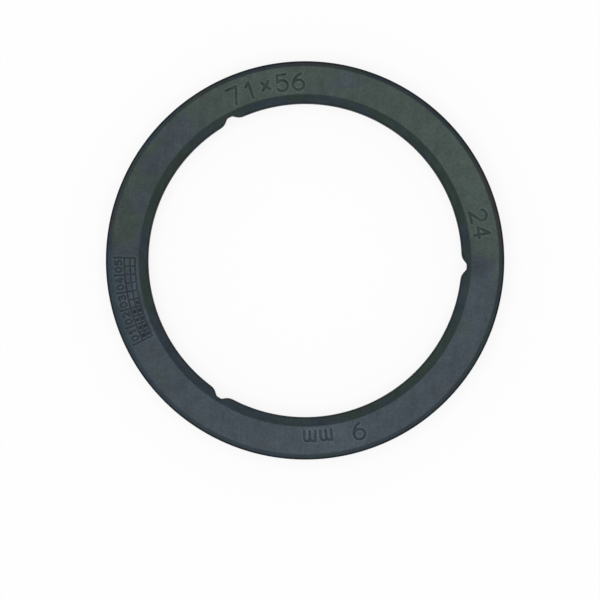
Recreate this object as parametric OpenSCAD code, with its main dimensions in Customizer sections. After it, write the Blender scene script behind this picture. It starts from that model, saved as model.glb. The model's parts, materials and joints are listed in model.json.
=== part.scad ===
// Group head gasket: one moulded rubber ring that seals a filter holder to the group of an
// espresso machine. It has a plain underside, a flat top face between a long bevel at the
// bore and a short bevel at the outer wall, and vertical notches in the bore wall.
// Lengths are in millimetres. The origin is on the ring's axis, at the plain underside, +Z
// points out of the bevelled face, and one notch is centred on +X.

/* [Ring] */
// Diameter of the bore wall, between the notches
bore_d = 56; // [50:0.5:64]
// Width of the rubber, from the bore wall to the outer wall
ring_w = 7.5; // [6:0.25:10]
// Height from the plain underside to the top face
height = 9; // [7:0.25:11]

/* [Bevels] */
// Width, seen from above, of the long bevel at the bore
inner_bevel_w = 1.58; // [1.3:0.01:2]
// Height of the long bevel at the bore
inner_bevel_h = 3; // [1.6:0.1:3.6]
// Width, seen from above, of the short bevel at the outer wall
outer_bevel_w = 0.96; // [0.5:0.01:1.4]
// Height of the short bevel at the outer wall
outer_bevel_h = 1.1; // [0.6:0.05:1.8]

/* [Edges] */
// Radius of the two edges of the top face
top_edge_r = 0.25; // [0.1:0.05:0.6]
// Radius of the edges where the bevels turn into the walls
foot_edge_r = 0.8; // [0.2:0.05:1.2]
// Radius of the two edges of the plain underside
base_edge_r = 0.35; // [0.2:0.05:0.8]

/* [Notches] */
// Number of notches, evenly spaced round the bore
notch_count = 3; // [2:1:8]
// Depth of a notch in the bore wall
notch_depth = 0.92; // [0.7:0.01:1.1]
// Width of a notch's flat floor, before its corners are rounded
notch_floor_w = 1; // [0.8:0.05:3]
// Angle between a notch's flanks and its centre line
notch_flank_angle = 48; // [30:1:55]
// Radius of the shoulders that turn the flanks into the bore wall
notch_shoulder_r = 2.3; // [1:0.1:3]
// Radius in the corners of a notch's floor
notch_corner_r = 0.7; // [0.2:0.05:0.9]

/* [Hidden] */

$fn = 180;
rubber_colour = [0.2, 0.22, 0.22];
bore_r = bore_d / 2;
outer_r = bore_r + ring_w;

// Largest turn between two straight steps of a rounded corner, in degrees
arc_step = 12;
// How far a notch's cutter runs past the ring, above, below and into the bore
overrun = 1;
// How far a shoulder's arc runs inside the bore circle, so that it crosses the wall
// at a shallow angle and doesn't only touch it
shoulder_dip = 0.02;

// Most of a notch flank's length that the roundings at its two ends may take together.
// On a shorter flank both of them shrink alike.
flank_share = 0.95;
rounding_room = notch_depth / cos(notch_flank_angle) / tan((90 - notch_flank_angle) / 2);
rounding_scale = min(1, flank_share * rounding_room / (notch_shoulder_r + notch_corner_r));
shoulder_r = notch_shoulder_r * rounding_scale;
corner_r = notch_corner_r * rounding_scale;

function unit(v) = v / norm(v);

function turned(v, angle) = [v[0] * cos(angle) - v[1] * sin(angle), v[0] * sin(angle) + v[1] * cos(angle)];

function mirror_y(p) = [p[0], -p[1]];

function mirrored(points) = [for (i = [len(points) - 1 : -1 : 0]) mirror_y(points[i])];

// Points along the arc round a centre, from its start to its end by the short way.
function arc(centre, start, end) =
    let (
        from = start - centre,
        to = end - centre,
        turn = atan2(cross(from, to), from * to),
        steps = ceil(abs(turn) / arc_step)
    )
    [for (i = [0 : steps]) centre + turned(from, turn * i / steps)];

// Points along the arc that rounds a corner, tangent to the lines to its two neighbours.
function rounded_corner(before, corner, after, r) =
    let (
        to_before = unit(before - corner),
        to_after = unit(after - corner),
        half_angle = acos(to_before * to_after) / 2,
        cut_back = r / tan(half_angle),
        centre = corner + unit(to_before + to_after) * r / sin(half_angle)
    )
    arc(centre, corner + cut_back * to_before, corner + cut_back * to_after);

// A closed outline with each corner rounded to its own radius.
function rounded_outline(points, radii) =
    let (last = len(points) - 1)
    [
        for (i = [0 : last])
            each rounded_corner(
                points[i == 0 ? last : i - 1], points[i], points[i == last ? 0 : i + 1], radii[i]
            )
    ];

// The ring's section, at its distance from the axis.
module ring_section() {
    corners = [
        [bore_r, 0],
        [outer_r, 0],
        [outer_r, height - outer_bevel_h],
        [outer_r - outer_bevel_w, height],
        [bore_r + inner_bevel_w, height],
        [bore_r, height - inner_bevel_h],
    ];
    radii = [base_edge_r, base_edge_r, foot_edge_r, top_edge_r, top_edge_r, foot_edge_r];
    polygon(rounded_outline(corners, radii));
}

// A notch's cutter seen from above, centred on +X: a flat floor with rounded corners,
// straight flanks, and shoulders that are arcs in the rubber beside the mouth.
module notch_outline() {
    flank = [-cos(notch_flank_angle), sin(notch_flank_angle)];
    flank_normal = [sin(notch_flank_angle), cos(notch_flank_angle)];
    floor_corner = [bore_r + notch_depth, notch_floor_w / 2];

    // The shoulder's centre is on a line parallel to the flank, where its arc
    // reaches into the bore circle by the dip.
    line_start = floor_corner + shoulder_r * flank_normal;
    centre_distance = bore_r + shoulder_r - shoulder_dip;
    along = line_start * flank;
    flank_length = -along - sqrt(along * along - line_start * line_start + centre_distance * centre_distance);
    shoulder_centre = line_start + flank_length * flank;
    flank_end = floor_corner + flank_length * flank;
    mouth = unit(shoulder_centre) * (bore_r - shoulder_dip);

    half = concat(
        [[bore_r - overrun, mouth[1]]],
        arc(shoulder_centre, mouth, flank_end),
        rounded_corner(flank_end, floor_corner, mirror_y(floor_corner), corner_r)
    );
    polygon(concat(half, mirrored(half)));
}

// One notch's cutter. It runs the ring's full height, and on the ring it ends
// on the long bevel, below the top face.
module notch_cutter() {
    translate([0, 0, -overrun])
        linear_extrude(height + 2 * overrun)
            notch_outline();
}

module gasket() {
    color(rubber_colour)
        difference() {
            rotate_extrude() ring_section();
            for (i = [0 : notch_count - 1])
                rotate(i * 360 / notch_count)
                    notch_cutter();
        }
}

gasket();
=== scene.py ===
# Group head gasket: the looks of one moulded rubber ring, seen from straight above.
# The ring is one closed mesh, of columns round the axis and rows round the section. Its marks
# are pressed into the top face, so they are part of that mesh too.
# Lengths are in millimetres, and angles in degrees round the axis from +X, unless a name
# says otherwise. The mesh is turned into metres when it is made, and materials work in metres.
import json
import math

import bpy
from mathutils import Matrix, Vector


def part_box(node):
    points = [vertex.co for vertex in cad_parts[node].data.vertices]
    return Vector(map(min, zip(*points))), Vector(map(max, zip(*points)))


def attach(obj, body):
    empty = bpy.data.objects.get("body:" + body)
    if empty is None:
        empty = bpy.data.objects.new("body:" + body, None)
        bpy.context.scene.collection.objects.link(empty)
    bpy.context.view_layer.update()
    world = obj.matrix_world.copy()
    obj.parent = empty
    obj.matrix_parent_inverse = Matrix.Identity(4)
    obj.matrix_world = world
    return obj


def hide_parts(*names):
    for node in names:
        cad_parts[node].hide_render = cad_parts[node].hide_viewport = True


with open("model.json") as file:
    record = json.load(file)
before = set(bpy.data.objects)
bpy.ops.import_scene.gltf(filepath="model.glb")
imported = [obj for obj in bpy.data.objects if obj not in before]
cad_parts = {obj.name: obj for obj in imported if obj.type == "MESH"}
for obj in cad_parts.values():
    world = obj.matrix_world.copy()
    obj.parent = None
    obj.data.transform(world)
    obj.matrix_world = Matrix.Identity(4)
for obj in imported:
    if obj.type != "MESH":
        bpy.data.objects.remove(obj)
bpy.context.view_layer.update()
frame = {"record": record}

MM = 0.001

# The ring's main sizes, read from the frame
ring_low, ring_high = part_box("gasket")
mounts = {mount["name"]: mount for mount in frame["record"]["mounts"]}
bore_r = mounts["bore"]["dims"]["r_mm"]
outer_r = mounts["outer_wall"]["dims"]["r_mm"]
height = (ring_high.z - ring_low.z) / MM

# The bevels and rounded edges of the section
inner_bevel_w = 1.58
inner_bevel_h = 3.0
outer_bevel_w = 0.96
outer_bevel_h = 1.1
top_edge_r = 0.25
foot_edge_r = 0.8
base_edge_r = 0.35

# The notches in the bore wall
notch_count = 3
notch_depth = 0.92
notch_floor_w = 1.0
notch_flank_angle = 48
notch_shoulder_r = 2.3
notch_corner_r = 0.7

# How finely the ring is divided: the angles between columns, the rows' distance where the
# marks are, and the share of a step that a rounding error may add
coarse_step = 1.0
mark_step = 0.15
notch_step = 0.3
mark_row = 0.08
step_slack = 0.001

# The steps along the section: round its edges, along its straight sides, along the long bevel
# and along the outer half of the underside, and how close to an edge each side's first row is
edge_steps = 5
side_steps = 3
long_bevel_steps = 5
outer_base_steps = 2
support_gap = 0.05

# The steps along a notch's rounded corner and its shoulder
notch_corner_steps = 6
notch_shoulder_steps = 14

# How far below the top face the pale bloom on it fades out, and the bevels' painted shade sets in
bloom_and_light_fade = 0.12

# The edges where the bevels meet the walls are darkened with painted shade: how far from the
# corner, how far the painted shade fades out beyond that, and how strong it is at the two walls
edge_shade_reach = 0.42
edge_shade_fade = 0.18
edge_shade_outer = 1.0
edge_shade_inner = 0.68

# Parts of the top face painted darker or brighter: centre, reach and brightness. The wide darker
# one on the -X side is a painted falloff of light. The dull spot beside a notch is bluer too.
dull_spot = ((30.8, 0.1, 9), 3.7, 0.68)
light_and_tone_patches = [
    ((-32, 6, 9), 40, 0.81),
    ((29, 15, 9), 18, 1.13),
    ((4, -32, 9), 18, 1.12),
    ((6, -31.5, 9), 8, 1.07),
    ((-9, 31, 9), 14, 1.1),
    dull_spot,
]

# The stretch of the top face beside its outer edge, past the date table, that takes the bevels'
# darker colour: its angles, how gradually it starts and ends, and the radii between which it sets
# in
dark_band_angles = (177.5, 210.5)
dark_band_fade = 3
dark_band_radii = (33.3, 34.3)

# Moulded figures: strokes of one width, their tops towards the outer wall, read clockwise.
# Each row of them is centred on an angle.
figure_rows = [("71x56", 104.95), ("24", 13.95), ("9 mm", 281.7)]
figure_base_r = 30.4
figure_h = 2.9
figure_w = 1.97
figure_pitch = 5.3
figure_stroke = 0.37
figure_depth = 0.22
groove_flank = 0.16
# The width of the painted highlight beside each groove
groove_highlight_w = 0.3

# About how far a figure's bows turn in each straight step
bow_turn = 15

# The date table: columns round the ring, each with a number and four small cells
table_start = 208.45
table_columns = 5
table_pitch = 5.42
table_line_radii = (30.28, 31.18, 32.19)
table_outer_r = 34.1
table_line = 0.24
table_depth = 0.2
number_base_r = 32.65
number_h = 1.15
number_w = 0.8
number_stroke = 0.25
number_gap = 0.42
dots_in_column = (4, 4, 1, 0, 0)

# A dot is a wide stroke of next to no length, which is given in degrees
dot_r = 0.3
dot_depth = 0.3
dot_length = 0.02

# Faint scuffs and shallow tool marks, as points of angle and radius
faint_depth = 0.06
faint_stroke = 0.3
faint_marks = [
    [(247.8, 31.0), (249.3, 33.0), (251.4, 34.0)],
    [(250.7, 31.3), (252.8, 34.0)],
    [(80.1, 30.9), (78.8, 31.95), (77.4, 31.7)],
    [(65.6, 31.2), (63.2, 32.6)],
    [(49.5, 30.9), (46.5, 31.5)],
]

# The span in which most of a noise's values lie
noise_span = (0.3, 0.7)

# The white of the floor's glow and of the surround
pure_white = (1, 1, 1, 1)

# The photograph's frame, in its own pixels, and the ring's place in it
picture_px = 600
px_per_mm = 5.611
ring_centre_px = (305.08, 260.41)

# The camera's turn, its distance from the level of the ring at which that scale holds, that
# level, and how far the camera sees
camera_turn = 2.2
camera_distance = 1500.0
camera_plane_z = 7.0
camera_reach = 10000.0


def unit(v):
    length = math.hypot(v[0], v[1])
    return (v[0] / length, v[1] / length)


def along(start, direction, length):
    """The point at a length from a start."""
    return (start[0] + direction[0] * length, start[1] + direction[1] * length)


def arc_points(centre, start, end, steps):
    """Points along the arc round a centre, from its start to its end by the short way."""
    ax, ay = start[0] - centre[0], start[1] - centre[1]
    bx, by = end[0] - centre[0], end[1] - centre[1]
    turn = math.atan2(ax * by - ay * bx, ax * bx + ay * by)
    points = []
    for i in range(steps + 1):
        c, s = math.cos(turn * i / steps), math.sin(turn * i / steps)
        points.append((centre[0] + ax * c - ay * s, centre[1] + ax * s + ay * c))
    return points


def rounded_corner(before, corner, after, radius, steps):
    """Points along the arc that rounds a corner, tangent to the lines to its neighbours."""
    a = unit((before[0] - corner[0], before[1] - corner[1]))
    b = unit((after[0] - corner[0], after[1] - corner[1]))
    half_angle = math.acos(a[0] * b[0] + a[1] * b[1]) / 2
    middle = unit((a[0] + b[0], a[1] + b[1]))
    centre = along(corner, middle, radius / math.sin(half_angle))
    cut_back = radius / math.tan(half_angle)
    return arc_points(centre, along(corner, a, cut_back), along(corner, b, cut_back), steps)


def straight(start, end, steps):
    """Points between two ends, without the ends, and with two close to each of them, so
    that smooth shading stays flat up to the rounded edges and the painted edge shade fades out."""
    length = math.dist(start, end)
    near = [support_gap / length, edge_shade_fade / length]
    shares = list(near)
    shares += [i / steps for i in range(1, steps)]
    shares += [1 - share for share in reversed(near)]
    return [
        (start[0] + (end[0] - start[0]) * t, start[1] + (end[1] - start[1]) * t)
        for t in shares
    ]


def notch_outline():
    """One notch's outline as (angle, radius) points, from its centre line to the bore wall:
    a flat floor with a rounded corner, a straight flank, and a round shoulder."""
    slope = math.radians(notch_flank_angle)
    flank = (-math.cos(slope), math.sin(slope))
    flank_normal = (math.sin(slope), math.cos(slope))
    floor_corner = (bore_r + notch_depth, notch_floor_w / 2)
    opposite = (floor_corner[0], -floor_corner[1])

    # The shoulder's centre is on a line parallel to the flank, where its arc touches the bore
    line_start = along(floor_corner, flank_normal, notch_shoulder_r)
    centre_distance = bore_r + notch_shoulder_r
    back = line_start[0] * flank[0] + line_start[1] * flank[1]
    square = back**2 - line_start[0] ** 2 - line_start[1] ** 2 + centre_distance**2
    flank_length = -back - math.sqrt(square)
    shoulder = along(line_start, flank, flank_length)
    flank_end = along(floor_corner, flank, flank_length)
    mouth = along((0.0, 0.0), unit(shoulder), bore_r)

    points = [(floor_corner[0], 0.0)]
    points += rounded_corner(opposite, floor_corner, flank_end, notch_corner_r, notch_corner_steps)
    points += arc_points(shoulder, flank_end, mouth, notch_shoulder_steps)
    return [(math.degrees(math.atan2(y, x)), math.hypot(x, y)) for x, y in points]


notch_points = notch_outline()
notch_half_angle = notch_points[-1][0]


def from_notch(angle):
    """Angle from the nearest notch's centre line."""
    pitch = 360 / notch_count
    return abs((angle + pitch / 2) % pitch - pitch / 2)


def wall_radius(angle):
    """Distance from the axis to the bore wall, or to a notch's wall."""
    offset = from_notch(angle)
    for (a0, r0), (a1, r1) in zip(notch_points, notch_points[1:]):
        if a0 <= offset < a1:
            return r0 + (r1 - r0) * (offset - a0) / (a1 - a0)
    return bore_r


def inner_foot(wall_r):
    """The corner where the bore wall, or a notch's wall further out, meets the long bevel."""
    rise = inner_bevel_h / inner_bevel_w
    return (wall_r, height - inner_bevel_h + (wall_r - bore_r) * rise)


def inner_side(wall_r):
    """The section from the middle of the underside, up the bore wall and the long bevel, to
    the top face."""
    under = ((bore_r + outer_r) / 2, 0.0)
    base = (wall_r, 0.0)
    foot = inner_foot(wall_r)
    top = (bore_r + inner_bevel_w, height)
    beyond = (outer_r, height)
    base_arc = rounded_corner(under, base, foot, base_edge_r, edge_steps)
    foot_arc = rounded_corner(base, foot, top, foot_edge_r, edge_steps)
    top_arc = rounded_corner(foot, top, beyond, top_edge_r, edge_steps)
    points = [under]
    points += straight(under, base_arc[0], side_steps)
    points += base_arc
    points += straight(base_arc[-1], foot_arc[0], side_steps)
    points += foot_arc
    points += straight(foot_arc[-1], top_arc[0], long_bevel_steps)
    points += top_arc
    return points


def outer_side():
    """The section from the top face down the short bevel and the outer wall to the underside."""
    before = (bore_r, height)
    top = (outer_r - outer_bevel_w, height)
    foot = (outer_r, height - outer_bevel_h)
    base = (outer_r, 0.0)
    under = ((bore_r + outer_r) / 2, 0.0)
    top_arc = rounded_corner(before, top, foot, top_edge_r, edge_steps)
    foot_arc = rounded_corner(top, foot, base, foot_edge_r, edge_steps)
    base_arc = rounded_corner(foot, base, under, base_edge_r, edge_steps)
    points = list(top_arc)
    points += straight(top_arc[-1], foot_arc[0], side_steps)
    points += foot_arc
    points += straight(foot_arc[-1], base_arc[0], side_steps)
    points += base_arc
    points += straight(base_arc[-1], under, outer_base_steps)
    return points


def top_face_radii(start, end):
    """Radii of the rows across the top face, close together where the marks are."""
    first = min(table_line_radii) - table_line
    last = end - support_gap
    count = round((last - first) / mark_row)
    radii = [start + support_gap, (start + first) / 2]
    radii += [first + (last - first) * i / count for i in range(count + 1)]
    return radii


def bow(cx, cy, rx, ry, start, end):
    """Points along a part of an oval, from one direction to another."""
    steps = round(abs(end - start) / bow_turn)
    points = []
    for i in range(steps + 1):
        t = math.radians(start + (end - start) * i / steps)
        points.append((cx + rx * math.cos(t), cy + ry * math.sin(t)))
    return points


def figure_shapes():
    """The centre lines of each figure's strokes, in a box from -0.5 to 0.5 across and from 0
    to 1 up."""
    upper_three = bow(-0.02, 0.76, 0.44, 0.24, 150, -90)
    lower_three = bow(-0.02, 0.27, 0.5, 0.27, 90, -150)
    arches = [bow(x, 0.42, 0.25, 0.2, 180, 0) + [(x + 0.25, 0.0)] for x in (-0.25, 0.25)]
    return {
        "0": [bow(0, 0.5, 0.5, 0.5, 0, 360)],
        "1": [[(-0.28, 0.74), (0.1, 1), (0.1, 0)]],
        "2": [bow(0, 0.7, 0.48, 0.3, 165, -30) + [(-0.5, 0), (0.5, 0)]],
        "3": [upper_three + lower_three[1:]],
        "4": [[(0.2, 0), (0.2, 1), (-0.5, 0.3), (0.5, 0.3)]],
        "5": [[(0.42, 1), (-0.36, 1), (-0.42, 0.54)] + bow(0, 0.33, 0.5, 0.33, 135, -145)],
        "6": [bow(0, 0.31, 0.5, 0.31, 0, 360), bow(0.5, 0.31, 1.0, 0.69, 180, 105)],
        "7": [[(-0.5, 1), (0.5, 1), (-0.1, 0)]],
        "9": [bow(0, 0.69, 0.5, 0.31, 0, 360), bow(-0.5, 0.69, 1.0, 0.69, 0, -75)],
        "m": [[(-0.5, 0.0), (-0.5, 0.64)]] + arches,
        "x": [[(-0.34, 0.245), (0.34, 0.755)], [(-0.34, 0.755), (0.34, 0.245)]],
    }


shapes = figure_shapes()


def figure_segments(figure, width, tall, shift=0.0):
    """The straight pieces of a figure's strokes, at its real size."""
    segments = []
    for stroke in shapes[figure]:
        points = [(shift + x * width, y * tall) for x, y in stroke]
        segments += list(zip(points, points[1:]))
    return segments


def distance_to(segment, x, y):
    """Distance from a point to a straight piece."""
    (ax, ay), (bx, by) = segment
    dx, dy = bx - ax, by - ay
    t = ((x - ax) * dx + (y - ay) * dy) / (dx * dx + dy * dy)
    t = min(1.0, max(0.0, t))
    return math.hypot(x - ax - dx * t, y - ay - dy * t)


def eased(value, low, high):
    """Where a value is between two others, smoothly from 0 to 1, and held at the ends."""
    t = min(1.0, max(0.0, (value - low) / (high - low)))
    return t * t * (3 - 2 * t)


def groove(beyond):
    """How deep a groove is at a distance beyond the middle of its flank, from 0 to 1."""
    return 1 - eased(beyond, -groove_flank / 2, groove_flank / 2)


def lip(beyond):
    """How bright the painted highlight beside a groove is at a distance beyond its flank, from 0
    to 1.
    """
    return max(0.0, 1 - abs(beyond - groove_highlight_w / 2) / (groove_highlight_w / 2))


class Mark:
    """Strokes that lie in a plane patch at one angle and share a width and a depth."""

    def __init__(self, angle, base_r, segments, width, depth):
        self.angle = angle
        self.base_r = base_r
        self.segments = segments
        self.width = width
        self.depth = depth
        margin = width / 2 + max(groove_flank, groove_highlight_w)
        xs = [point[0] for segment in segments for point in segment]
        ys = [point[1] for segment in segments for point in segment]
        self.x_range = (min(xs) - margin, max(xs) + margin)
        self.y_range = (min(ys) - margin, max(ys) + margin)

        # The first and the last angle that the mark reaches
        nearest = base_r + self.y_range[0]
        self.first = angle - math.degrees(math.atan2(self.x_range[1], nearest))
        self.last = angle - math.degrees(math.atan2(self.x_range[0], nearest))

    def at(self, angle, radius):
        """The depth and the painted highlight that the mark gives a point of the top face near it.
        """
        turn = math.radians(self.angle - angle)
        x = radius * math.sin(turn)
        y = radius * math.cos(turn) - self.base_r
        across = self.x_range[0] <= x <= self.x_range[1]
        if not (across and self.y_range[0] <= y <= self.y_range[1]):
            return (0.0, 0.0)
        nearest = min(distance_to(segment, x, y) for segment in self.segments)
        beyond = nearest - self.width / 2
        return (self.depth * groove(beyond), self.depth * lip(beyond))


def figure_row(text, middle):
    """The marks of a row of figures, centred on one angle."""
    marks = []
    for i, figure in enumerate(text):
        if figure != " ":
            angle = middle + ((len(text) - 1) / 2 - i) * figure_pitch
            segments = figure_segments(figure, figure_w, figure_h)
            marks.append(Mark(angle, figure_base_r, segments, figure_stroke, figure_depth))
    return marks


def polar_mark(points, width, depth):
    """A mark along points given by angle and radius."""
    middle = sum(point[0] for point in points) / len(points)
    placed = []
    for angle, radius in points:
        turn = math.radians(middle - angle)
        placed.append((radius * math.sin(turn), radius * math.cos(turn)))
    return Mark(middle, 0.0, list(zip(placed, placed[1:])), width, depth)


def table_number(number, angle):
    """A two-figure number in the outer part of a column."""
    shift = (number_w + number_gap) / 2
    tens, ones = f"{number:02d}"
    segments = figure_segments(tens, number_w, number_h, -shift)
    segments += figure_segments(ones, number_w, number_h, shift)
    return Mark(angle, number_base_r, segments, number_stroke, table_depth)


def table_dots(count, left):
    """The dots in a column's small cells, two to a half column, filled from its left."""
    marks = []
    for i in range(count):
        half, row = divmod(i, 2)
        angle = left - table_pitch * (half + 0.5) / 2
        radius = (table_line_radii[row] + table_line_radii[row + 1]) / 2
        points = [(angle + dot_length / 2, radius), (angle - dot_length / 2, radius)]
        marks.append(polar_mark(points, 2 * dot_r, dot_depth))
    return marks


def date_table():
    """The lines, numbers and dots of the date table."""
    lines = []
    marks = []
    inner_r, _, cell_r = table_line_radii
    for column in range(table_columns + 1):
        angle = table_start - column * table_pitch
        lines.append([(angle, inner_r), (angle, table_outer_r)])
    for column in range(table_columns):
        left = table_start - column * table_pitch
        middle = left - table_pitch / 2
        right = left - table_pitch
        lines += [[(left, r), (middle, r), (right, r)] for r in table_line_radii]
        lines.append([(middle, inner_r), (middle, cell_r)])
        marks.append(table_number(column + 1, middle))
        marks += table_dots(dots_in_column[column], left)
    marks += [polar_mark(line, table_line, table_depth) for line in lines]
    return marks


def all_marks():
    marks = []
    for text, middle in figure_rows:
        marks += figure_row(text, middle)
    marks += date_table()
    marks += [polar_mark(points, faint_stroke, faint_depth) for points in faint_marks]
    return marks


def divided(start, end, step):
    """Values from a start to just before an end, evenly spaced by a step or less."""
    count = math.ceil((end - start) / step - step_slack)
    return [start + (end - start) * i / count for i in range(count)]


def column_angles(marks):
    """The mesh's columns, as pairs of an angle and whether the column goes all round the
    section. Those are close together at the notches. The others only cross the top face,
    close together at the marks."""
    pitch = 360 / notch_count
    reach = notch_half_angle + notch_step
    whole = []
    for i in range(notch_count):
        middle = i * pitch
        whole += divided(middle - reach, middle + reach, notch_step)
        whole += divided(middle + reach, middle + pitch - reach, coarse_step)
    columns = []
    for start, end in zip(whole, whole[1:] + [whole[0] + 360]):
        marked = any(mark.first < end and start < mark.last for mark in marks)
        angles = divided(start, end, mark_step if marked else coarse_step)
        columns.append((start, True))
        columns += [(angle, False) for angle in angles[1:]]
    return columns


def bloom_and_light_of(points):
    """The bloom at points of the section: 1 at the top face, and 0 below its edges, where the
    bevels take painted shade.
    """
    return [max(0.0, 1 - (height - z) / bloom_and_light_fade) for _, z in points]


def outside_dark_band(angle, radius):
    """The share of the bloom, and of the top face's lighter colour, kept at a point of the top
    face or of its edges: less in the darker stretch past the date table.
    """
    inside = min(angle - dark_band_angles[0], dark_band_angles[1] - angle)
    return 1 - eased(inside, 0, dark_band_fade) * eased(radius, *dark_band_radii)


def edge_shade_of(points, corner, strength):
    """How much painted shade points of the section get round the corner at a wall's top."""
    shares = [1 - (math.dist(point, corner) - edge_shade_reach) / edge_shade_fade for point in points]
    return [strength * min(1.0, max(0.0, share)) for share in shares]


def side_face(angle):
    """The points of one column's sides, from the outer edge of the top face by way of the
    underside to its inner edge, with how much painted edge shade they get."""
    wall_r = wall_radius(angle)
    outer = outer_side()
    inner = inner_side(wall_r)
    rubbed = edge_shade_of(outer, (outer_r, height - outer_bevel_h), edge_shade_outer)
    rubbed += edge_shade_of(inner, inner_foot(wall_r), edge_shade_inner)
    return outer + inner, rubbed


def top_face(angle, radii, marks):
    """The points of one column's crossing of the top face, with their recess and painted
    highlight.
    """
    near = [mark for mark in marks if mark.first <= angle <= mark.last]
    points = []
    recesses = []
    groove_highlights = []
    for radius in radii:
        found = [mark.at(angle, radius) for mark in near]
        depth = max((deep for deep, _ in found), default=0.0)
        brightest = max((edge for _, edge in found), default=0.0)
        points.append((radius, height - depth))
        recesses.append(depth / dot_depth)
        groove_highlights.append(max(0.0, brightest - depth) / figure_depth)
    return points, recesses, groove_highlights


def in_metres(angle, points):
    """Points of the section in metres, turned to a column's angle."""
    c, s = math.cos(math.radians(angle)), math.sin(math.radians(angle))
    return [(r * c * MM, r * s * MM, z * MM) for r, z in points]


def quads(here, there):
    """Faces between two columns of the same length, given by their vertices."""
    pairs = list(zip(here, there))
    return [(a, c, d, b) for (a, b), (c, d) in zip(pairs, pairs[1:])]


def ring_faces(columns):
    """The faces between columns, each given by its vertices on the sides and the top face.
    A long face joins the many columns of the top face to the fewer ones of the sides."""
    faces = []
    count = len(columns)
    whole = [i for i in range(count) if columns[i][0]]
    for i in range(count):
        faces += quads(columns[i][1], columns[(i + 1) % count][1])
    for start, end in zip(whole, whole[1:] + [whole[0] + count]):
        between = [columns[i % count][1] for i in range(start, end + 1)]
        side, next_side = columns[start][0], columns[end % count][0]
        faces += quads(side, next_side)
        faces.append([side[-1]] + [top[0] for top in between] + [next_side[-1]])
        faces.append([side[0], next_side[0]] + [top[-1] for top in reversed(between)])
    return faces


def make_ring(name, material):
    """The ring's mesh, with the recesses, painted highlights, bloom, painted bevel shade and
    painted edge shade that its material reads.
    """
    marks = all_marks()
    radii = top_face_radii(inner_side(bore_r)[-1][0], outer_side()[0][0])
    vertices = []
    columns = []
    values = {"recess": [], "lip": [], "bloom": [], "rubbed": []}
    for angle, whole in column_angles(marks):
        side, rubbed = side_face(angle) if whole else ([], [])
        top, recesses, groove_highlights = top_face(angle, radii, marks)
        points = side + top
        bloom_and_light_levels = bloom_and_light_of(side) + [1.0] * len(top)
        values["recess"] += [0.0] * len(side) + recesses
        values["lip"] += [0.0] * len(side) + groove_highlights
        values["bloom"] += [bloom * outside_dark_band(angle, r) for bloom, (r, _) in zip(bloom_and_light_levels, points)]
        values["rubbed"] += rubbed + [0.0] * len(top)
        indices = list(range(len(vertices), len(vertices) + len(points)))
        columns.append((indices[: len(side)], indices[len(side) :]))
        vertices += in_metres(angle, points)
    mesh = bpy.data.meshes.new(name)
    mesh.from_pydata(vertices, [], ring_faces(columns))
    for key, numbers in values.items():
        mesh.attributes.new(key, "FLOAT", "POINT").data.foreach_set("value", numbers)
    mesh.shade_smooth()
    mesh.materials.append(material)
    ring = bpy.data.objects.new(name, mesh)
    bpy.context.scene.collection.objects.link(ring)
    return ring


def add_node(tree, kind, values=None, **settings):
    """A shader node with its settings, and with values or links for its inputs."""
    node = tree.nodes.new(kind)
    for key, value in settings.items():
        setattr(node, key, value)
    for key, value in (values or {}).items():
        if isinstance(value, bpy.types.NodeSocket):
            tree.links.new(value, node.inputs[key])
        else:
            node.inputs[key].default_value = value
    return node


def new_material(name):
    material = bpy.data.materials.new(name)
    material.use_nodes = True
    material.node_tree.nodes.clear()
    return material


def noise(tree, place, scale, detail, roughness=0.5, distortion=0.0):
    values = {
        "Vector": place,
        "Scale": scale,
        "Detail": detail,
        "Roughness": roughness,
        "Distortion": distortion,
    }
    return add_node(tree, "ShaderNodeTexNoise", values).outputs["Fac"]


def ranged(tree, value, span, levels):
    """A value moved smoothly from a span to the levels at its ends, and held there."""
    values = {
        "Value": value,
        "From Min": span[0],
        "From Max": span[1],
        "To Min": levels[0],
        "To Max": levels[1],
    }
    node = add_node(tree, "ShaderNodeMapRange", values, interpolation_type="SMOOTHSTEP")
    return node.outputs["Result"]


def mixed(tree, factor, first, second, blend="MIX"):
    """A colour between two colours, or blended from them."""
    values = {0: factor, 6: first, 7: second}
    node = add_node(tree, "ShaderNodeMix", values, data_type="RGBA", blend_type=blend)
    return node.outputs[2]


def shaded(tree, colour, shade):
    """A colour multiplied by another one, or by a number."""
    return mixed(tree, 1.0, colour, shade, "MULTIPLY")


def blended(tree, factor, first, second):
    """A number between two numbers."""
    values = {0: factor, 2: first, 3: second}
    return add_node(tree, "ShaderNodeMix", values, data_type="FLOAT").outputs[0]


def attribute(tree, name):
    """A value that the mesh carries at its points."""
    return add_node(tree, "ShaderNodeAttribute", attribute_name=name).outputs["Fac"]


def multiplied(tree, first, second):
    node = add_node(tree, "ShaderNodeMath", {0: first, 1: second}, operation="MULTIPLY")
    return node.outputs[0]


def greater(tree, first, second):
    node = add_node(tree, "ShaderNodeMath", {0: first, 1: second}, operation="MAXIMUM")
    return node.outputs[0]


def scaled_add(tree, value, factor, base):
    """A value times a factor, added to a base."""
    values = {0: value, 1: factor, 2: base}
    return add_node(tree, "ShaderNodeMath", values, operation="MULTIPLY_ADD").outputs[0]


def vectors(tree, operation, first, second=(0, 0, 0)):
    return add_node(tree, "ShaderNodeVectorMath", {0: first, 1: second}, operation=operation)


def nearness(tree, place, centre, reach):
    """1 at a centre, and smoothly down to 0 at a distance from it, both in millimetres."""
    centre_m = [length * MM for length in centre]
    away = vectors(tree, "DISTANCE", place, centre_m).outputs["Value"]
    return ranged(tree, away, (0, reach * MM), (1, 0))


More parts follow.
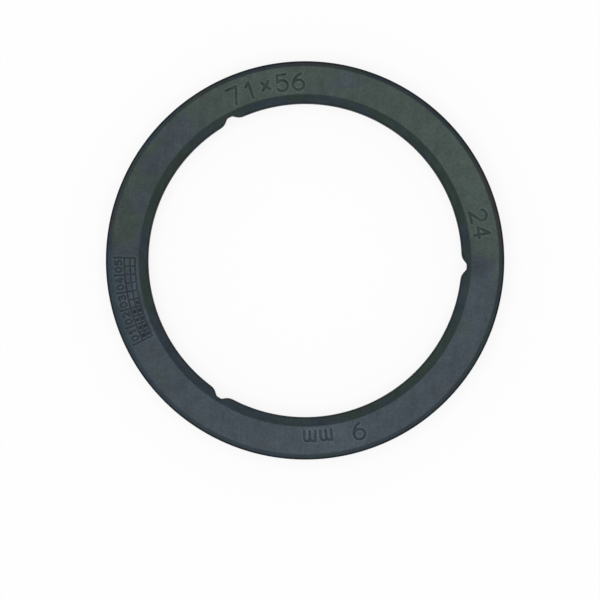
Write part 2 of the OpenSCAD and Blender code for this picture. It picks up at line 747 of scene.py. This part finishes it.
def blueness(tree, place, bloom, rim):
    """Patches from greenish, 0, to bluish, 1. The top face is greener on its +Y side, and
    bluer at its dull spot. The outer bevel is mostly bluish."""
    slope = -4.5
    rim_shift = 0.05
    spot_shift = 0.2
    top_start = (-0.32, -0.82, -0.27)
    bevel_start = (0.94, 0.53, 0.47)
    patch_edge = (0.455, 0.545)
    patches = []
    for start in (bevel_start, top_start):
        shifted = vectors(tree, "ADD", place, start).outputs["Vector"]
        patches.append(noise(tree, shifted, scale=55, detail=5, roughness=0.72, distortion=0.4))
    across = add_node(tree, "ShaderNodeSeparateXYZ", {"Vector": place}).outputs["Y"]
    bevels = scaled_add(tree, rim, rim_shift, patches[0])
    top = scaled_add(tree, across, slope, patches[1])
    spot_centre, spot_reach, _ = dull_spot
    top = scaled_add(tree, nearness(tree, place, spot_centre, spot_reach), spot_shift, top)
    return ranged(tree, blended(tree, bloom, bevels, top), patch_edge, (0, 1))


def tinted(tree, place, bluish, rim):
    """The two greys of the patches, with brownish specks all over, and brownish stretches on
    the outer bevel."""
    green_grey = (0.053, 0.073, 0.065, 1)
    blue_grey = (0.053, 0.0685, 0.082, 1)
    brown_grey = (0.074, 0.066, 0.066, 1)
    speck_edge, speck_share = (0.68, 0.74), 0.4
    stretch_edge, stretch_share = (0.53, 0.61), 0.6
    stretch_start = (-0.44, -0.07, -0.08)
    colour = mixed(tree, bluish, green_grey, blue_grey)
    specks = noise(tree, place, scale=260, detail=2, distortion=0.6)
    specks = ranged(tree, specks, speck_edge, (0, speck_share))
    colour = mixed(tree, specks, colour, brown_grey)
    shifted = vectors(tree, "ADD", place, stretch_start).outputs["Vector"]
    stretches = noise(tree, shifted, scale=60, detail=2, distortion=0.6)
    stretches = ranged(tree, stretches, stretch_edge, (0, stretch_share))
    return mixed(tree, multiplied(tree, rim, stretches), colour, brown_grey)


def bare_bevels_with_painted_light(tree, colour, place, bluish, rim):
    """Painted shade darkening the bevels below the top face, with painted light making one side of
    the outer one paler.
    """
    # Painted shade: how much darker the inner and outer bevels are than the top face
    inner_green_shade = (0.52, 0.627, 0.6, 1)
    inner_blue_shade = (0.545, 0.658, 0.705, 1)
    rim_shade = (0.58, 0.65, 0.68, 1)
    # Painted light: the outer bevel is paler towards this heading and darker away from it
    lit_heading = math.radians(242)
    lit_span, lit_share = (-0.035, 0.035), 0.16
    direction = (math.cos(lit_heading), math.sin(lit_heading), 0)
    side = vectors(tree, "DOT_PRODUCT", place, direction).outputs["Value"]
    across = ranged(tree, side, lit_span, (-lit_share, lit_share))
    inner_shade = mixed(tree, bluish, inner_green_shade, inner_blue_shade)
    colour = shaded(tree, colour, mixed(tree, rim, inner_shade, rim_shade))
    return shaded(tree, colour, scaled_add(tree, across, rim, 1.0))


def bare_and_shaded_rubber(tree, colour, place, facing, bluish, bare_and_shaded, rim):
    """Bare rubber with painted shade below the top face, an even grey where it faces sideways or
    down, and painted shade at the walls' upper edges."""
    wall_grey = (0.052, 0.06, 0.063, 1)
    wall_span = (0.02, 0.42)
    edge_shade_colour = (0.25, 0.25, 0.29, 1)
    colour = mixed(tree, bare_and_shaded, colour, bare_bevels_with_painted_light(tree, colour, place, bluish, rim))
    up = add_node(tree, "ShaderNodeSeparateXYZ", {"Vector": facing}).outputs["Z"]
    colour = mixed(tree, ranged(tree, up, wall_span, (1, 0)), colour, wall_grey)
    # Painted shade at the walls' upper edges, where they meet the bevels
    return mixed(tree, attribute(tree, "rubbed"), colour, shaded(tree, colour, edge_shade_colour))


def uneven(tree, place, bloom):
    """The brightness of parts of the top face, painted darker or brighter, with a painted falloff
    of light towards -X.
    """
    tone = 1.0
    for centre, reach, level in light_and_tone_patches:
        near = nearness(tree, place, centre, reach)
        tone = multiplied(tree, tone, scaled_add(tree, near, level - 1, 1.0))
    return blended(tree, bloom, 1.0, tone)


def mottling(tree, place):
    """The brightness of the rubber: clouds, wiping marks, a fine grain, and painted highlights
    beside the marks."""
    cloud_levels = (0.92, 1.08)
    grain_levels = (0.87, 1.13)
    wipe_levels = (0.95, 1.05)
    wipe_stretch = (1, 0.15, 1)
    groove_highlight_level = 1.4
    clouds = noise(tree, place, scale=320, detail=4, roughness=0.6, distortion=0.3)
    grain = noise(tree, place, scale=2600, detail=3, roughness=0.6)
    drawn_out = vectors(tree, "MULTIPLY", place, wipe_stretch).outputs["Vector"]
    wipes = noise(tree, drawn_out, scale=900, detail=2)
    clouds = ranged(tree, clouds, noise_span, cloud_levels)
    grain = ranged(tree, grain, noise_span, grain_levels)
    wipes = ranged(tree, wipes, noise_span, wipe_levels)
    # A painted highlight beside the grooves
    groove_highlights = ranged(tree, attribute(tree, "lip"), (0, 1), (1, groove_highlight_level))
    return multiplied(tree, multiplied(tree, clouds, wipes), multiplied(tree, grain, groove_highlights))


def recess_shaded(tree, colour, place):
    """Painted shade in the recesses, darker the deeper they are, and patchy."""
    shade = (0.35, 0.37, 0.4, 1)
    darkness = 0.9
    patchy_span, patchy_levels = (0.35, 0.6), (0.6, 1)
    patchy = ranged(tree, noise(tree, place, scale=450, detail=2), patchy_span, patchy_levels)
    # Painted shade, stronger where a recess is deeper
    recess_shade_share = multiplied(tree, ranged(tree, attribute(tree, "recess"), (0, 1), (0, darkness)), patchy)
    return mixed(tree, recess_shade_share, colour, shaded(tree, colour, shade))


def bumps(tree, place):
    """Fine pits on low waves."""
    pits = noise(tree, place, scale=3200, detail=4, roughness=0.65)
    waves = noise(tree, place, scale=420, detail=3, distortion=0.3)
    values = {"Strength": 0.35, "Distance": 0.03 * MM, "Height": pits}
    pitted = add_node(tree, "ShaderNodeBump", values).outputs["Normal"]
    values = {"Strength": 0.25, "Distance": 0.06 * MM, "Height": waves, "Normal": pitted}
    return add_node(tree, "ShaderNodeBump", values).outputs["Normal"]


def rubber():
    """Matt dark grey moulded rubber, with a pale bloom on its top face only and painted shade on
    the bevels below it.
    """
    rim_span = (0.0335, 0.0345)
    roughness_levels = (0.6, 0.74)
    material = new_material("rubber_moulded")
    tree = material.node_tree
    coordinates = add_node(tree, "ShaderNodeTexCoord")
    place = coordinates.outputs["Object"]
    facing = coordinates.outputs["Normal"]
    bloom = attribute(tree, "bloom")
    # 0 on the top face, and 1 below it, where the colour takes painted shade
    bare_and_shaded = scaled_add(tree, bloom, -1.0, 1.0)

    # 1 on the bare rubber, in painted shade, of the outer bevel and wall, and 0 on that of the
    # inner ones
    distance = vectors(tree, "LENGTH", place).outputs["Value"]
    rim = multiplied(tree, ranged(tree, distance, rim_span, (0, 1)), bare_and_shaded)

    bluish = blueness(tree, place, bloom, rim)
    colour = tinted(tree, place, bluish, rim)
    colour = bare_and_shaded_rubber(tree, colour, place, facing, bluish, bare_and_shaded, rim)
    tone = multiplied(tree, mottling(tree, place), uneven(tree, place, bloom))
    colour = recess_shaded(tree, shaded(tree, colour, tone), place)
    values = {
        "Base Color": colour,
        "Roughness": ranged(
            tree, noise(tree, place, scale=500, detail=3), noise_span, roughness_levels
        ),
        "Specular IOR Level": 0.1,
        "Normal": bumps(tree, place),
    }
    shader = add_node(tree, "ShaderNodeBsdfPrincipled", values)
    add_node(tree, "ShaderNodeOutputMaterial", {"Surface": shader.outputs[0]})
    return material


def seen_directly(tree):
    """1 for rays from the camera, off gloss and through glass, and 0 for the rest."""
    path = add_node(tree, "ShaderNodeLightPath").outputs
    seen = greater(tree, path["Is Camera Ray"], path["Is Glossy Ray"])
    return greater(tree, seen, path["Is Transmission Ray"])


def mixed_shader(tree, factor, first, second):
    values = {0: factor, 1: first.outputs[0], 2: second.outputs[0]}
    return add_node(tree, "ShaderNodeMixShader", values).outputs[0]


def floor_paper():
    """Plain pale paper. It is white to the eye, and gives little light back to the ring."""
    paper_white = (0.97, 0.97, 0.97, 1)
    paper_dim = (0.4, 0.4, 0.4, 1)
    glow_share = 0.85
    material = new_material("floor_paper")
    tree = material.node_tree
    seen = seen_directly(tree)
    colour = mixed(tree, seen, paper_dim, paper_white)
    paper = add_node(tree, "ShaderNodeBsdfDiffuse", {"Color": colour})
    glow = add_node(tree, "ShaderNodeEmission", {"Color": pure_white, "Strength": 1.0})
    surface = mixed_shader(tree, multiplied(tree, seen, glow_share), paper, glow)
    add_node(tree, "ShaderNodeOutputMaterial", {"Surface": surface})
    return material


def make_floor():
    """A wide plain floor, a hair below the ring."""
    half = 4000.0 * MM
    drop = 0.02 * MM
    directions = [(-1, -1), (1, -1), (1, 1), (-1, 1)]
    corners = [(x * half, y * half, -drop) for x, y in directions]
    mesh = bpy.data.meshes.new("floor")
    mesh.from_pydata(corners, [], [(0, 1, 2, 3)])
    mesh.materials.append(floor_paper())
    floor = bpy.data.objects.new("floor", mesh)
    bpy.context.scene.collection.objects.link(floor)
    return floor


def make_world():
    """A white surround to the eye, and a low even light on the object."""
    ambient = 0.4
    world = bpy.data.worlds.new("studio")
    world.use_nodes = True
    tree = world.node_tree
    tree.nodes.clear()
    bright = add_node(tree, "ShaderNodeBackground", {"Color": pure_white, "Strength": 1.0})
    low = add_node(tree, "ShaderNodeBackground", {"Color": pure_white, "Strength": ambient})
    surface = mixed_shader(tree, seen_directly(tree), low, bright)
    add_node(tree, "ShaderNodeOutputWorld", {"Surface": surface})
    bpy.context.scene.world = world


def make_lamp():
    """A wide soft overhead lamp. Its tilt is from straight down, towards a heading."""
    strength = 1.83
    spread = math.radians(40)
    tilt = math.radians(3)
    heading = math.radians(222)
    data = bpy.data.lights.new("overhead", "SUN")
    data.energy = strength
    data.angle = spread
    lamp = bpy.data.objects.new("overhead", data)
    lamp.rotation_euler = (0, tilt, heading)
    bpy.context.scene.collection.objects.link(lamp)


def make_camera():
    """A camera straight above, that puts the ring where the photograph has it."""
    frame_w = picture_px / px_per_mm
    turn = math.radians(camera_turn)
    right = (ring_centre_px[0] - picture_px / 2) / px_per_mm
    up = (picture_px / 2 - ring_centre_px[1]) / px_per_mm
    x = -(right * math.cos(turn) - up * math.sin(turn))
    y = -(right * math.sin(turn) + up * math.cos(turn))
    data = bpy.data.cameras.new("camera")
    data.lens = data.sensor_width * camera_distance / frame_w
    data.clip_end = camera_reach * MM
    camera = bpy.data.objects.new("camera", data)
    camera.location = (x * MM, y * MM, (camera_plane_z + camera_distance) * MM)
    camera.rotation_euler = (0, 0, turn)
    bpy.context.scene.collection.objects.link(camera)
    bpy.context.scene.camera = camera


make_camera()
make_world()
make_lamp()
make_floor()
bpy.context.scene.view_settings.view_transform = "Standard"

ring = make_ring("gasket_ring", rubber())
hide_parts("gasket")
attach(ring, "root")
